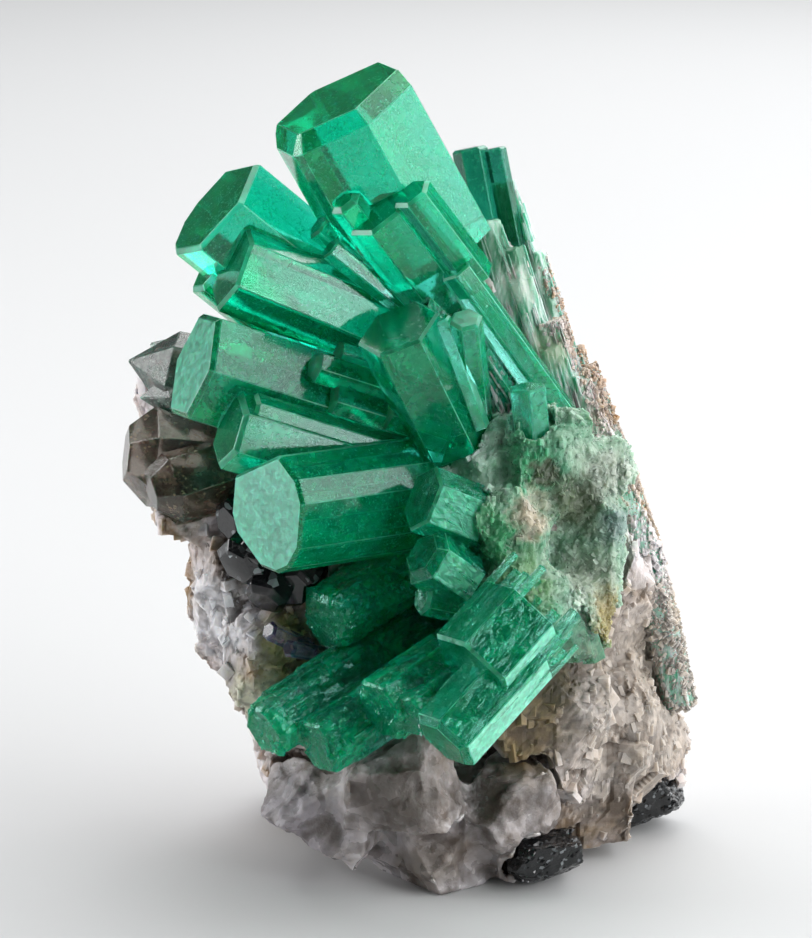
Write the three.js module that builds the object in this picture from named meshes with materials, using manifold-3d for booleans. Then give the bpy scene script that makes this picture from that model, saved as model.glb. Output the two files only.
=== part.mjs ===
// Emerald crystal cluster on its quartz, feldspar and mica matrix.
// Millimetres, +Z up, front towards -Y. The origin is on the flat face it rests on, straight
// below the middle of the specimen.
//
// A beryl crystal is a six-sided prism with a flat end, a quartz crystal one with a point. Each
// is placed by the middle of its free end (tip), the compass heading and rise of its axis from
// root to tip, and the roll of its first prism face about that axis, counted from level. Prisms
// listed together grew as one and are joined. Where two minerals meet, the one listed first
// keeps its shape and the other stops short of it. The rock has a pocket around every root.

import * as THREE from 'three';
import { mergeVertices } from 'three/addons/utils/BufferGeometryUtils.js';
import Module from 'manifold-3d';

const wasm = await Module();
wasm.setup();

// Driving dimensions, mm and degrees
const JOINT_GAP = 0.3;          // clearance between one mineral and the next
const PRISM_STEP = 60;          // angle between the prism faces of beryl and quartz
const BEVEL_SLOPE = 45;         // tilt of the bevel faces round a beryl's flat end
const POINT_SLOPE = 52;         // tilt of the faces of a quartz crystal's point
const GROUND = 0;               // height of the flat resting face
const MICA_LIFT = 0.4;          // the mica lumps stay this far above the resting face
const MERGE = 1e-4;             // vertices closer than this are one
const FAR = 200;                // larger than the whole specimen
const NO_FACE = 20;             // reach of a corner's narrow face that is too far out to cut it

const UP = new THREE.Vector3(0, 0, 1);
const radians = THREE.MathUtils.degToRad;
const lerp = THREE.MathUtils.lerp;

// Emerald crystals, front ones first. size is the distance from the axis to each prism face;
// sides lists six of them where the section is uneven, edges adds a narrow face across each
// corner, and bevel or bevels is how far the faces round the flat end reach in.
const EMERALDS = {
  emerald_centre: [
    { tip: [-19.6, -20.8, 57.5], heading: -139, rise: 4, roll: 57, length: 31, bevel: 0.5,
      sides: [7.9, 6.3, 7.7, 7.7, 9.1, 7.7], edges: [8, 8, 8, 8.6, 8.6, 8] },
  ],
  emerald_lower_right: [
    { tip: [9.3, -30.5, 36.7], heading: -143, rise: -36, roll: 36, size: 6.3, length: 11, bevel: 0.5 },
    { tip: [5, -35.9, 27.9], size: 4.6, length: 18, bevel: 0.9 },
  ],
  emerald_stubs: [
    { tip: [2.2, -21.4, 51.2], heading: -151, rise: 37, roll: 0, size: 3.9, length: 8.5, bevel: 1.2 },
    { tip: [2.2, -18.4, 58.4], heading: -154, rise: 26, roll: 3, length: 9, bevel: 0.4,
      sides: [3.8, 4.3, 4.3, 3.8, 4.3, 4.3] },
    { tip: [2.1, -21.1, 44.5], heading: -153, rise: 18, roll: 12, size: 2.1, length: 12, bevel: 0.5 },
  ],
  emerald_lower_left: [
    { tip: [-20.4, -23.2, 25.2], heading: -139, rise: -17, roll: 35, size: 4.15, length: 38, bevel: 0.8 },
    { tip: [-12.7, -26.6, 24.1], size: 4.1, length: 28, bevel: 0.6 },
    { tip: [-3.9, -28.1, 30], size: 4.4, length: 24, bevel: 0.5 },
    { tip: [0.3, -31.2, 30.2], size: 3.3, length: 22, bevel: 0.4 },
  ],
  emerald_left_small: [
    { tip: [-25.2, -12.1, 66.7], heading: -161, rise: 21, roll: 10, size: 4.9, length: 31, bevel: 0.6 },
    { tip: [-22.2, -12.4, 69.4], size: 2.6, length: 26, bevel: 0.5 },
  ],
  emerald_mid_lower: [
    { tip: [-30.5, -4.8, 74.4], heading: -163, rise: 21, roll: 38, size: 7.5, length: 38, bevel: 0.7 },
    { tip: [-13.5, -6.3, 74.6], size: 2.2, length: 18, bevel: 0.7 },
    { tip: [-11, -6.6, 69.8], size: 2.3, length: 15, bevel: 0.5 },
    { tip: [-3, -5.6, 67.5], size: 2.2, length: 9, bevel: 0.4 },
    { tip: [-9.9, -2.5, 75.6], size: 1.7, length: 12, bevel: 0.3 },
  ],
  emerald_middle: [
    { tip: [-1.2, -11.3, 81.4], heading: -140, rise: 60, roll: 319, size: 5.4, length: 21, bevel: 0.4 },
  ],
  emerald_columns: [
    { tip: [8.4, -12.9, 83.1], heading: -101, rise: 62, roll: 295, size: 2.1, length: 21, bevel: 0.4 },
    { tip: [4.8, -11.9, 82.9], heading: -149, rise: 68, roll: 336, size: 1.3, length: 18, bevel: 0.3 },
  ],
  emerald_upper_centre: [
    { tip: [-4.2, -5.1, 96.7], heading: -152, rise: 52, roll: 345, size: 4.2, length: 26, bevel: 0.5 },
    { tip: [-8.9, -4.6, 98.3], size: 2.2, length: 24, bevel: 0.7 },
    { tip: [0.6, -7.3, 100], size: 2.7, length: 17, bevel: 0.5 },
  ],
  emerald_filler: [
    { tip: [-12.6, 1.6, 93.5], heading: -166, rise: 40, roll: 12, size: 2, length: 24, bevel: 0.4 },
    { tip: [-10.9, -1.8, 90.9], size: 1.6, length: 22, bevel: 0.3 },
  ],
  emerald_mid_upper: [
    { tip: [-25.1, 0.7, 87.5], heading: -166, rise: 25, roll: 17, size: 5.8, length: 36, bevel: 0.5 },
  ],
  emerald_diagonal: [
    { tip: [6.9, -6.2, 88.8], heading: -158, rise: 54, roll: 6, size: 2.2, length: 30, bevel: 0.3 },
  ],
  emerald_upper_left: [
    { tip: [-27.4, 7.9, 94.8], heading: -167, rise: 41, roll: 350, length: 40, bevel: 0.6,
      sides: [7.5, 7.5, 7.8, 9.8, 9.8, 7.8], edges: [NO_FACE, NO_FACE, NO_FACE, 10.2, 9.4, NO_FACE] },
    { tip: [-28.6, 9.5, 85.4], size: 3.8, length: 26, bevel: 0.6 },
  ],
  emerald_top: [
    { tip: [-9.8, 3.9, 111], heading: -164, rise: 61, roll: 333, length: 27,
      sides: [9.4, 9.4, 9.4, 9.6, 10, 10.3], edges: [NO_FACE, NO_FACE, NO_FACE, 11, 11, 10.8],
      bevels: [2.3, 2.3, 0.3, 0.3, 0.3, 2.3] },
  ],
  emerald_block: [
    { tip: [17.2, -9.7, 72.4], heading: -179, rise: 84, roll: 331, size: 2.5, length: 10, bevel: 0.3 },
  ],
  emerald_dark: [
    { tip: [-12.1, -11.6, 37.6], heading: -141, rise: -18, roll: 30, size: 5, length: 26, bevel: 1 },
  ],
  beryl_top_right: [
    { tip: [9.3, 19.9, 101.2], heading: 143, rise: 76, roll: 40, size: 2.3, length: 40, bevel: 0.4 },
    { tip: [12.9, 19.9, 101.2], size: 1.6, length: 40, bevel: 0.3 },
  ],
  beryl_pale_small: [
    { tip: [22, -16.4, 42.8], heading: -160, rise: 72, roll: 10, size: 2.3, length: 9, bevel: 0.3 },
    { tip: [24.6, -15, 41], size: 1.7, length: 8, bevel: 0.3 },
  ],
};

// Fans of slender prisms: from the first to the last, one loop each, a little uneven.
const CORE_FAN = {
  seed: 3, count: 12, from: [4, -6, 84], to: [24, -3, 62], spread: 3.5,
  heading: [-150, -120], rise: [45, 75], size: [1.1, 2.4], length: [13, 18],
};
const SHOULDER_FANS = [
  { seed: 11, count: 11, from: [13, 21, 96], to: [28.5, 14, 62], spread: 0.8,
    heading: [143, 158], rise: [76, 66], size: [1.6, 2.6], length: [22, 26] },
  { seed: 12, count: 9, from: [12, 12, 92], to: [27, 5, 62], spread: 1,
    heading: [150, 165], rise: [76, 66], size: [1.9, 2.7], length: [20, 25] },
  { seed: 13, count: 7, from: [28.5, 11, 60], to: [37.5, 7, 36], spread: 0.9,
    heading: [155, 160], rise: [68, 76], size: [1.8, 2.8], length: [14, 17] },
  { seed: 15, count: 13, from: [9.2, 0, 94], to: [26.5, -0.8, 68.5], spread: 0.7,
    heading: [146, 158], rise: [74, 68], size: [1.2, 2.1], length: [17, 22] },
];

const QUARTZ = {
  quartz_clear: [
    { tip: [-41, 12, 71], heading: 176, rise: 12, roll: 20, size: 5.2, length: 30 },
    { tip: [-38, 17, 72.5], heading: 164, rise: 26, roll: 0, size: 3.6, length: 24 },
    { tip: [-39, 9, 66], heading: -176, rise: -6, roll: 40, size: 3.4, length: 22 },
  ],
  quartz_smoky: [
    { tip: [-41, 6, 58.5], heading: -172, rise: 8, roll: 5, size: 6.6, length: 30, bevel: 3 },
    { tip: [-37, -1, 54.5], heading: -160, rise: -12, roll: 30, size: 5, length: 22, bevel: 2.4 },
  ],
};

const ACCESSORIES = {
  schorl: [
    { tip: [-24.5, -9, 45.5], heading: -128, rise: -24, roll: 10, size: 3.6, length: 20, bevel: 1.1 },
    { tip: [-20.5, -10, 40.5], heading: -120, rise: -38, roll: 25, size: 3, length: 18, bevel: 0.9 },
    { tip: [-26, -5, 51], heading: -140, rise: -8, roll: 0, size: 3, length: 18, bevel: 0.8 },
    { tip: [-16.5, -9, 42], heading: -104, rise: -18, roll: 40, size: 3.2, length: 18, bevel: 0.8 },
    { tip: [-22, -11, 49], heading: -118, rise: 12, roll: 20, size: 2.2, length: 18, bevel: 0.6 },
  ],
  apatite_small: [
    { tip: [-19.8, -11.4, 36.8], heading: -135, rise: 30, roll: 10, size: 1.3, length: 9, bevel: 0.4 },
    { tip: [-16.9, -12.6, 34.4], heading: -128, rise: 20, roll: 35, size: 1.2, length: 9, bevel: 0.4 },
  ],
};

// Rock lumps: middle, half sizes, the turn of their cleavage about +Z and a seed for their
// shape. breaks are fracture faces that show: the way each faces and how far out it lies, as a
// share of the half size.
const KNOBS = {
  quartz_knobs: [
    { at: [-12, -13, 10], radii: [10, 7, 8.5], turn: 0, seed: 41,
      breaks: [{ facing: [-0.6, -0.2, -0.8], reach: 0.62 }, { facing: [-0.7, -0.4, 0.6], reach: 0.8 }] },
    { at: [-1, -19, 16], radii: [10, 8.5, 8], turn: 10, seed: 42,
      breaks: [{ facing: [0.8, -0.5, 0.3], reach: 0.85 }, { facing: [-0.4, -0.9, -0.3], reach: 0.8 }] },
    { at: [4, -13.5, 5], radii: [9, 8, 7.5], turn: 40, seed: 43,
      breaks: [{ facing: [-0.6, -0.5, -0.6], reach: 0.8 }] },
    { at: [15, -12, 9], radii: [8, 8, 10], turn: 20, seed: 44, breaks: [] },
  ],
};
const MICA = {
  mica_right: [{ at: [35, 9, 5.5], radii: [7, 7, 5.2], turn: 15, seed: 51, breaks: [] }],
  mica_foot: [{ at: [18.5, -14.5, 3.6], radii: [6.5, 6, 3.4], turn: 20, seed: 52, breaks: [] }],
};
// Massive pale beryl at the root of the emeralds, with a pit in the middle of it.
const DRUSE = {
  beryl_druse: [
    { at: [7, -3.9, 62.3], radii: [7, 6, 6.5], turn: 10, seed: 61, breaks: [] },
    { at: [13.5, -5.3, 61], radii: [7, 7, 6.5], turn: 40, seed: 62, breaks: [] },
    { at: [19.9, -6.4, 61.5], radii: [7.5, 7, 8], turn: 20, seed: 63, breaks: [] },
    { at: [26, -3, 57.5], radii: [6.5, 6.5, 8], turn: 55, seed: 64, breaks: [] },
    { at: [13.5, -13, 52], radii: [7, 8, 8.5], turn: 25, seed: 65, breaks: [] },
    { at: [26.5, -6.2, 48], radii: [7, 7, 9], turn: -10, seed: 66, breaks: [] },
    { at: [15.5, -15.5, 42], radii: [8, 9.5, 7.5], turn: 35, seed: 67, breaks: [] },
    { at: [23.2, -11, 40], radii: [6.5, 6.5, 7], turn: 70, seed: 68, breaks: [] },
  ],
};
const MATRIX = [
  { at: [12, 12, 20], radii: [25, 19, 22], turn: 0, seed: 1 },
  { at: [15, 13, 47], radii: [18, 14, 20], turn: 10, seed: 2 },
  { at: [10, 14, 72], radii: [8.5, 8, 17], turn: 15, seed: 3 },
  { at: [-14, 14, 56], radii: [18, 10, 16], turn: -8, seed: 5 },
  { at: [-30, 16, 62], radii: [8, 7, 9], turn: 25, seed: 6 },
  { at: [-24, 4, 38], radii: [8.5, 8, 12], turn: 20, seed: 7 },
  { at: [-30.5, 4, 49], radii: [7, 5, 4.5], turn: 10, seed: 18,
    breaks: [{ facing: [-0.6, -0.2, -0.75], reach: 0.7 }] },
  { at: [-19, -2, 29], radii: [8, 7, 9], turn: 40, seed: 17 },
  { at: [-7, 10, 34], radii: [17, 14, 18], turn: 10, seed: 8 },
  { at: [-10, -1, 18], radii: [11, 11, 11], turn: 30, seed: 9 },
  { at: [-8, 14, 12], radii: [16, 14, 14], turn: 15, seed: 10 },
  { at: [28.5, 5, 18.5], radii: [10.5, 12, 13.5], turn: -20, seed: 11 },
  { at: [28.5, 7, 38], radii: [9, 9.5, 14], turn: 30, seed: 12 },
  { at: [20, -7, 22], radii: [9.5, 9, 14], turn: 5, seed: 13 },
  { at: [22, -2, 45], radii: [8, 7.5, 12], turn: 45, seed: 14 },
  { at: [5, 25, 26], radii: [19, 9, 19], turn: -15, seed: 15 },
  { at: [20, 22, 46], radii: [11, 7, 14], turn: 20, seed: 16 },
].map((spec) => ({ breaks: [], ...spec }));

// Colours and surfaces
const FINISHES = {
  emerald: { color: 0x0d8a5c, roughness: 0.15 },
  beryl: { color: 0xa9cdb4, roughness: 0.4 },
  clear: { color: 0xb9b8b2, roughness: 0.2 },
  smoky: { color: 0x57514b, roughness: 0.25 },
  milky: { color: 0xc9c3bd, roughness: 0.5 },
  rock: { color: 0xc4b3a2, roughness: 0.8 },
  black: { color: 0x15171a, roughness: 0.25 },
  violet: { color: 0x6d6880, roughness: 0.35 },
};
const MATERIALS = Object.fromEntries(Object.entries(FINISHES).map(
  ([name, finish]) => [name, new THREE.MeshStandardMaterial({ ...finish, metalness: 0 })],
));

// A repeatable run of numbers from 0 to 1.
function seeded(seed) {
  let state = seed * 2654435761;
  return () => {
    state = (state + 0x6d2b79f5) | 0;
    let mixed = Math.imul(state ^ (state >>> 15), 1 | state);
    mixed = (mixed + Math.imul(mixed ^ (mixed >>> 7), 61 | mixed)) ^ mixed;
    return ((mixed ^ (mixed >>> 14)) >>> 0) / 4294967296;
  };
}

// The solid of a closed three.js geometry.
function solidFrom(geometry) {
  const bare = geometry.clone();
  bare.deleteAttribute('normal');
  bare.deleteAttribute('uv');
  const merged = mergeVertices(bare, MERGE);
  return new wasm.Manifold(new wasm.Mesh({
    numProp: 3,
    vertProperties: new Float32Array(merged.attributes.position.array),
    triVerts: new Uint32Array(merged.index.array),
  }));
}

function geometryFrom(solid) {
  const mesh = solid.getMesh();
  const geometry = new THREE.BufferGeometry();
  geometry.setAttribute('position', new THREE.BufferAttribute(mesh.vertProperties, 3));
  geometry.setIndex(new THREE.BufferAttribute(mesh.triVerts, 1));
  geometry.computeVertexNormals();
  return geometry;
}

// The axes of a crystal's own frame: z runs out along the crystal and x is level.
function crystalFrame({ tip, heading, rise }) {
  const axis = new THREE.Vector3(1, 0, 0)
    .applyAxisAngle(new THREE.Vector3(0, 1, 0), -radians(rise))
    .applyAxisAngle(UP, radians(heading));
  const side = new THREE.Vector3().crossVectors(UP, axis).normalize();
  const over = new THREE.Vector3().crossVectors(axis, side);
  return new THREE.Matrix4().makeBasis(side, over, axis).setPosition(...tip);
}

// The corners of the convex outline whose sides face the given angles at the given distances.
function sectionCorners(faces) {
  let corners = [[-FAR, -FAR], [FAR, -FAR], [FAR, FAR], [-FAR, FAR]];
  for (const { angle, distance } of faces) {
    const [nx, ny] = [Math.cos(radians(angle)), Math.sin(radians(angle))];
    const kept = [];
    corners.forEach((here, i) => {
      const next = corners[(i + 1) % corners.length];
      const reach = nx * here[0] + ny * here[1] - distance;
      const nextReach = nx * next[0] + ny * next[1] - distance;
      if (reach <= 0) kept.push(here);
      if (reach * nextReach < 0) {
        const t = reach / (reach - nextReach);
        kept.push([lerp(here[0], next[0], t), lerp(here[1], next[1], t)]);
      }
    });
    corners = kept;
  }
  return corners.map(([x, y]) => new THREE.Vector2(x, y));
}

// Every face of a prism: its angle, its distance from the axis and the bevel at its free end.
function prismFaces({ roll, size, sides, edges, bevel, bevels }) {
  const faces = [];
  for (let i = 0; i < 6; i += 1) {
    const ownBevel = bevels ? bevels[i] : bevel;
    const nextBevel = bevels ? bevels[(i + 1) % 6] : bevel;
    faces.push({
      angle: roll + i * PRISM_STEP, distance: sides ? sides[i] : size, bevel: ownBevel,
    });
    if (edges) {
      faces.push({
        angle: roll + (i + 0.5) * PRISM_STEP, distance: edges[i],
        bevel: Math.min(ownBevel, nextBevel),
      });
    }
  }
  return faces;
}

// One prism, with every face moved out by grow.
function prism(spec, slope, grow) {
  const faces = prismFaces(spec);
  const outline = sectionCorners(faces.map((face) => ({ ...face, distance: face.distance + grow })));
  const bar = new THREE.ExtrudeGeometry(new THREE.Shape(outline), {
    depth: spec.length + 2 * grow, bevelEnabled: false,
  });
  bar.translate(0, 0, -spec.length - grow);
  let solid = solidFrom(bar);
  const [out, along] = [Math.sin(radians(slope)), Math.cos(radians(slope))];
  for (const { angle, distance, bevel } of faces.filter((face) => face.bevel > 0)) {
    const normal = [-Math.cos(radians(angle)) * out, -Math.sin(radians(angle)) * out, -along];
    solid = solid.trimByPlane(normal, -(distance - bevel) * out - grow);
  }
  return solid.transform(crystalFrame(spec).elements);
}

const joined = (solids) => solids.reduce((whole, next) => whole.add(next));

// Prisms grown as one: the later ones take the first one's direction unless they have their own.
function beryl(prisms, grow = 0) {
  const { heading, rise, roll } = prisms[0];
  return joined(prisms.map((spec) => prism({ heading, rise, roll, ...spec }, BEVEL_SLOPE, grow)));
}

// Quartz prisms end in a point, where their end faces reach in as far as the axis.
function quartz(prisms, grow = 0) {
  return joined(prisms.map(
    (spec) => prism({ bevel: spec.size, ...spec }, POINT_SLOPE, grow),
  ));
}

// The prisms of a fan, spaced evenly from one end to the other and then jittered.
function fanPrisms({ seed, count, from, to, spread, heading, rise, size, length }) {
  const random = seeded(seed);
  const between = ([low, high]) => lerp(low, high, random());
  return Array.from({ length: count }, (_, i) => {
    const t = i / (count - 1);
    return {
      tip: from.map((start, k) => lerp(start, to[k], t) + spread * (2 * random() - 1)),
      heading: lerp(...heading, t),
      rise: lerp(...rise, t),
      roll: PRISM_STEP * random(),
      size: between(size),
      length: between(length),
      bevel: 0,
    };
  });
}

// A rock lump: a block with cleavage faces square to each other, cut by fracture planes.
const FRACTURES = 18;
const FRACTURE_REACH = [0.88, 1.16];    // how far out they lie, as a share of the half size
const CLEAVAGE_INSET = 0.1;             // the cleavage faces lie this much further in
const CLEAVAGE_SKEW = 0.35;
const BLOCK_SIDE = 3;                   // larger than the lump that is cut from it

function lump({ at, radii, turn, seed, breaks }, grow = 0) {
  const random = seeded(seed);
  const anyWay = () => new THREE.Vector3(random() - 0.5, random() - 0.5, random() - 0.5);
  let solid = solidFrom(new THREE.BoxGeometry(BLOCK_SIDE, BLOCK_SIDE, BLOCK_SIDE));
  const cut = (normal, reach) => {
    solid = solid.trimByPlane(normal.normalize().negate().toArray(), -reach);
  };
  for (let side = 0; side < 6; side += 1) {
    const facing = new THREE.Vector3().setComponent(side % 3, side < 3 ? 1 : -1);
    facing.add(anyWay().multiplyScalar(CLEAVAGE_SKEW));
    cut(facing, lerp(...FRACTURE_REACH, random()) - CLEAVAGE_INSET);
  }
  for (let i = 0; i < FRACTURES; i += 1) {
    cut(anyWay(), lerp(...FRACTURE_REACH, random()));
  }
  for (const { facing, reach } of breaks) {
    cut(new THREE.Vector3(...facing).applyAxisAngle(UP, radians(-turn)), reach);
  }
  const place = new THREE.Matrix4().makeScale(...radii.map((radius) => radius + grow))
    .premultiply(new THREE.Matrix4().makeRotationZ(radians(turn)))
    .setPosition(...at);
  return solid.transform(place.elements);
}

const lumps = (list, grow = 0) => joined(list.map((spec) => lump(spec, grow)));

// Minerals in the order in which they keep their shape: name, finish and what makes the solid.
const minerals = [
  ...Object.entries(EMERALDS).map(([name, prisms]) => (
    { name, finish: name.startsWith('beryl') ? 'beryl' : 'emerald', make: (grow) => beryl(prisms, grow) })),
  { name: 'emerald_core', finish: 'emerald', make: (grow) => beryl(fanPrisms(CORE_FAN), grow) },
  { name: 'beryl_columns', finish: 'beryl',
    make: (grow) => beryl(SHOULDER_FANS.flatMap(fanPrisms), grow) },
  ...Object.entries(DRUSE).map(([name, list]) => (
    { name, finish: 'beryl', make: (grow) => lumps(list, grow) })),
  ...Object.entries(ACCESSORIES).map(([name, prisms]) => (
    { name, finish: name === 'schorl' ? 'black' : 'violet', make: (grow) => beryl(prisms, grow) })),
  ...Object.entries(QUARTZ).map(([name, prisms]) => (
    { name, finish: name === 'quartz_clear' ? 'clear' : 'smoky', make: (grow) => quartz(prisms, grow) })),
  ...Object.entries(MICA).map(([name, list]) => (
    { name, finish: 'black', make: (grow) => lumps(list, grow), floor: GROUND + MICA_LIFT })),
  ...Object.entries(KNOBS).map(([name, list]) => (
    { name, finish: 'milky', make: (grow) => lumps(list, grow) })),
  { name: 'matrix', finish: 'rock', make: (grow) => lumps(MATRIX, grow) },
];

// The largest single body of a solid that cutting may have split.
function largest(solid) {
  return solid.decompose().reduce((best, next) => (next.volume() > best.volume() ? next : best));
}

const cluster = new THREE.Group();
const earlier = [];
for (const { name, finish, make, floor = GROUND } of minerals) {
  let solid = make(0).trimByPlane(UP.toArray(), floor);
  for (const taken of earlier) {
    solid = solid.subtract(taken);
  }
  earlier.push(make(JOINT_GAP));
  const mesh = new THREE.Mesh(geometryFrom(largest(solid)), MATERIALS[finish]);
  mesh.name = name;
  cluster.add(mesh);
}

export default cluster;
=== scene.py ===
"""The looks of an emerald crystal cluster on its quartz, feldspar and mica rock.

Laid out as an add-on and run as a script. The packed solids are the frame: every piece here is
made from them or grown on them, in metres, with +Z up and the front towards -Y.
"""

import math
from functools import partial

import bmesh
import bpy
import numpy as np
from mathutils import Matrix, Vector


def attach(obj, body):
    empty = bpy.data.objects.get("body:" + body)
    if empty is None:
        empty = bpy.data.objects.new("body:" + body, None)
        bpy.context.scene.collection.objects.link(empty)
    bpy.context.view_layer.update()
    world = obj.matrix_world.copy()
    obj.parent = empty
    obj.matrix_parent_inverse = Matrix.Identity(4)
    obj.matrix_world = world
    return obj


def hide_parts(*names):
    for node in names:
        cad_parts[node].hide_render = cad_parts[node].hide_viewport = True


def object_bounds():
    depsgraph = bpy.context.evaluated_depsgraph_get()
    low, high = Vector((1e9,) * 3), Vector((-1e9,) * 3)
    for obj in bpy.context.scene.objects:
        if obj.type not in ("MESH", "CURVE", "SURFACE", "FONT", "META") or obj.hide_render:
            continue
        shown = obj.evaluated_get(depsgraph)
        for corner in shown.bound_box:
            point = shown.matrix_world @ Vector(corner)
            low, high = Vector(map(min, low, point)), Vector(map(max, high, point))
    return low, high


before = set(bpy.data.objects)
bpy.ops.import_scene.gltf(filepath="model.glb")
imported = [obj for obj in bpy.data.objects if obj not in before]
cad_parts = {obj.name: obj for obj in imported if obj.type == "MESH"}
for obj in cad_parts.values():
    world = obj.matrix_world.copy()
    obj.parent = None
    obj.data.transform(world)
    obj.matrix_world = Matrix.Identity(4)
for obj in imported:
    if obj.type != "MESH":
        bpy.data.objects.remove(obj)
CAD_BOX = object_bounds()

bl_info = {
    "name": "Emerald crystal cluster",
    "version": (1, 0, 0),
    "blender": (4, 5, 0),
    "location": "3D View > Sidebar > Specimen",
    "description": "Dresses an emerald cluster in clear beryl, drusy rock, quartz and tourmaline",
    "category": "Object",
}

MM = 0.001
CUBIC_CM = 1e-6  # cubic metres
SQUARE_CM = 1e-4  # square metres
BODY = "root"
FLOOR_HALF = 3.0  # half the width of the paper floor, metres
WELD = 0.002 * MM  # corners of the loose triangles closer than this are one
COORDINATES = "crystal_mm"  # a point in its crystal's own frame, millimetres, Z along it
FROST = "frost"  # how etched a face is, from 0, glossy, to 1, frosted
END_CLOUD = 0.3  # the clouds seen through a flat end, against those at the sides
CLOUD = "cloud"  # how full of fine inclusions a crystal is, from 0 to 1
EDGE_FROST = 0.55  # the frost of the worn line along a crystal's edges
NARROW = 0.7 * MM  # a face narrower than this is a worn edge
FLAT = math.radians(0.5)  # faces that meet at less than this are one face
SHARP = 0.35  # edges that turn by more than this, in radians, are worn
SHORTEST = 6  # the shortest edge that is worn, against the worn line's width
ON_END = 0.97  # how far a face has to look along its crystal to be its end
ON_ROUGH_END = 0.9  # the same on a crystal with a stepped surface
SAME_WAY = 0.995  # how near to an etched face's direction a face has to look
RELIEF = "relief"  # how far the rock stands out of its hollows, from 0 to 1; the rock's material paints shade where it is low
TONE = "tone"  # how light one grain of the rock is, from 0 to 1
ZONE_MM = 6.25  # the width of the cloudy and the clear zones in a crystal
PITS_PER_MM = 1.1  # the pits of an etched face
SHEETS_PER_MM = 0.15  # the curved sheets that flakes gather in
PATCH_MM = 10  # patches of fresh and stained rock, of green and white fibres
RAGGED_MM = 2.5  # the ragged edge of a stain on rock
STRIA_RUN = 0.03  # how much slower striations change along a crystal than across
STRIA_HEIGHT = 0.006 * MM  # on a glossy face
PIT_DEPTH = 0.05 * MM  # on an etched one
HILL_HEIGHT = 0.4  # of a growth hillock, against its width
FACET_HEIGHT = 0.35  # of the small flat faces on it, against their width
RIB_HEIGHT = 0.3 * MM  # of the ribs and flakes of a black mineral
SPECK_MM = 0.625  # the rock's own grains
DOMAIN_MM = 20  # how far the cleavage of a rock keeps to one direction
STAIN_SWING = 9.0  # how far in millimetres the edge of a stain wanders
RESTING = (0.3 * MM, 1.5 * MM)  # a rock is flat up to the first height, rough from the second
NET = 0.4 * MM  # the net that the inside of the crystals is found on
SKIN = 0.32 * MM  # no flake lies closer to a crystal's face than this
EVERY = 1000  # mm, far beyond the specimen on every side
DEEPER = 0.25  # how far the cleavage steps are let in, against their relief
HOLLOW = 0.65  # the share of a weathered rock's noise that lies in hollows
SIDE_ON = 0.4  # needles grow on faces whose cosine to their way is below this
BLOCK_SUNK = 0.35  # how deep a broken block sits, against its size
BLOCK_TURN = 9.0  # radians that blocks turn over the whole range of their noise
BLOCK_JITTER = 0.2  # radians that each of them turns besides
MOSTLY_SMALL = 2.5  # the power that makes large blocks rare
# The smallest and the largest shape of a flake and of a block, against their size.
FLAKES = ((0.3, 0.3, 0.08), (1.0, 0.8, 0.16))
BLOCKS = ((0.9, 0.6, 0.3), (2.0, 1.7, 1.4))
CLEAVAGES = ((1.0, 1.0), (0.4, 0.42), (0.15, 0.12))  # each set of steps: its size and weight

# The photograph's viewing angle: the camera looks at a point straight above the origin.
VIEW_RISE = math.radians(15)
VIEW_DISTANCE = 0.6
VIEW_HEIGHT = 57.7 * MM
VIEW_TALL = 0.145 * 938 * MM  # what the long side of the picture spans at that point
SENSOR = 36.0  # millimetres

# The way each crystal points, as in the part's source: the compass heading and the rise of its
# long axis in degrees. Then how frosted its flat end and its sides are, and how cloudy it is.
CRYSTALS = {
    "emerald_top": (-164, 61, 0.03, 0.06, 0.50),
    "emerald_upper_left": (-167, 41, 0.03, 0.08, 0.40),
    "emerald_mid_upper": (-166, 25, 0.30, 0.05, 0.45),
    "emerald_mid_lower": (-163, 21, 0.72, 0.08, 0.50),
    "emerald_left_small": (-161, 21, 0.30, 0.10, 0.45),
    "emerald_centre": (-139, 4, 0.80, 0.03, 0.35),
    "emerald_upper_centre": (-152, 52, 0.10, 0.05, 0.50),
    "emerald_filler": (-166, 40, 0.10, 0.05, 0.50),
    "emerald_middle": (-140, 60, 0.10, 0.05, 0.35),
    "emerald_columns": (-101, 62, 0.60, 0.15, 0.60),
    "emerald_diagonal": (-158, 54, 0.10, 0.05, 0.35),
    "emerald_block": (-179, 84, 0.30, 0.45, 0.60),
    "emerald_stubs": (-151, 37, 0.30, 0.15, 0.50),
    "emerald_dark": (-141, -18, 0.20, 0.10, 0.25),
    "emerald_lower_left": (-139, -17, 0.10, 0.10, 0.60),
    "emerald_lower_right": (-143, -36, 0.05, 0.15, 0.35),
    "emerald_core": (-135, 60, 0.40, 0.30, 0.60),
    "beryl_top_right": (143, 76, 0.10, 0.15, 0.80),
    "beryl_pale_small": (-160, 72, 0.60, 0.40, 0.80),
    "quartz_clear": (176, 12, 0.30, 0.30, 0.90),
    "quartz_smoky": (-172, 8, 0.30, 0.30, 0.80),
    "schorl": (-128, -24, 0.20, 0.10, 0.00),
    "apatite_small": (-130, 25, 0.20, 0.10, 0.50),
}
EMERALDS = [name for name in CRYSTALS if name.startswith("emerald")]
COLUMNS_WAY = (155, 70)  # the same two angles for the pale columns
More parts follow.
